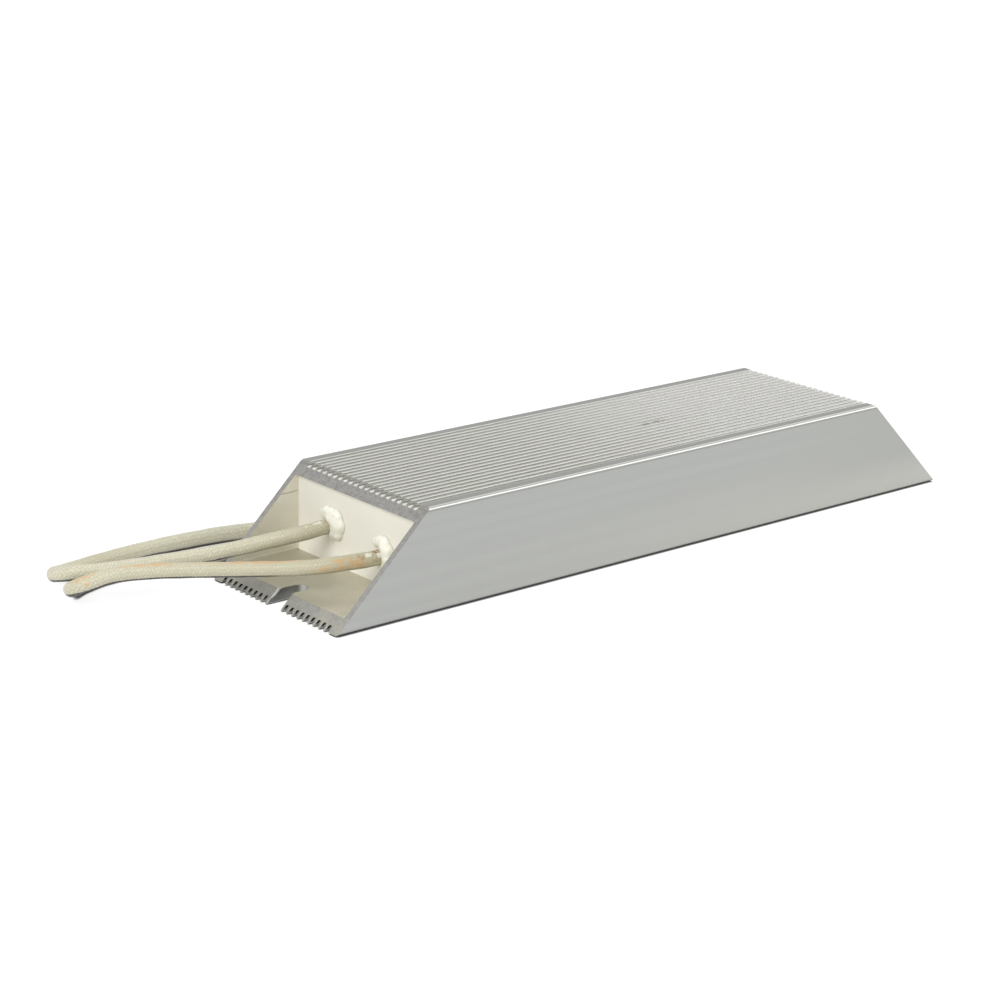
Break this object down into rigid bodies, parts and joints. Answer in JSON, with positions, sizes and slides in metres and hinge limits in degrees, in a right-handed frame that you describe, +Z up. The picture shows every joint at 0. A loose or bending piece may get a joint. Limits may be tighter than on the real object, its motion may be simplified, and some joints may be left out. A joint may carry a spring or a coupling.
{
  "type": "aluminium housed power resistor",
  "caption": "Flat trapezoid wirewound resistor in a grooved aluminium extrusion with sawn ends, open mounting slots and two braided flying leads.",
  "frame": {"origin": "centre of the base of the housing, on the surface it stands on", "axes": "+X along the housing away from the end where the leads come out, +Y across it towards the side where the leads lie, +Z up from the base"},
  "size_m": [0.2946, 0.0906, 0.031],
  "materials": {
    "extruded_aluminium": "satin extrusion with fine lengthwise draw lines, sawn ends",
    "seal_cement": "matt cast cement, slightly rough, faint stains",
    "quartz_sand": "packed fine grains",
    "mica": "pressed mica sheet",
    "core_ceramic": "unglazed ceramic",
    "resistance_wire": "drawn nickel chrome wire",
    "cap_metal": "pressed and nickel plated",
    "conductor_metal": "drawn copper",
    "bead_cement": "smooth cement set with a slight gloss",
    "glass_braid": "varnished glass fibre braid with brown heat stains",
    "lug_metal": "tin plated"
  },
  "bodies": {
    "root": {"housing": "extruded_aluminium", "lead_end_seal": "seal_cement", "blind_end_seal": "seal_cement", "sand_filling": "quartz_sand", "mica_sheet_top": "mica", "mica_sheet_bottom": "mica", "ceramic_core_back": "core_ceramic", "ceramic_core_front": "core_ceramic", "resistance_winding_back": "resistance_wire", "resistance_winding_front": "resistance_wire", "lead_end_cap_back": "cap_metal", "lead_end_cap_front": "cap_metal", "link_end_cap_back": "cap_metal", "link_end_cap_front": "cap_metal", "link_strap": "cap_metal", "conductor_back": "conductor_metal", "conductor_front": "conductor_metal", "cement_bead_back": "bead_cement", "cement_bead_front": "bead_cement", "lead_back": "glass_braid", "lead_front": "glass_braid", "ring_lug_back": "lug_metal", "ring_lug_front": "lug_metal"}
  },
  "joints": []
}
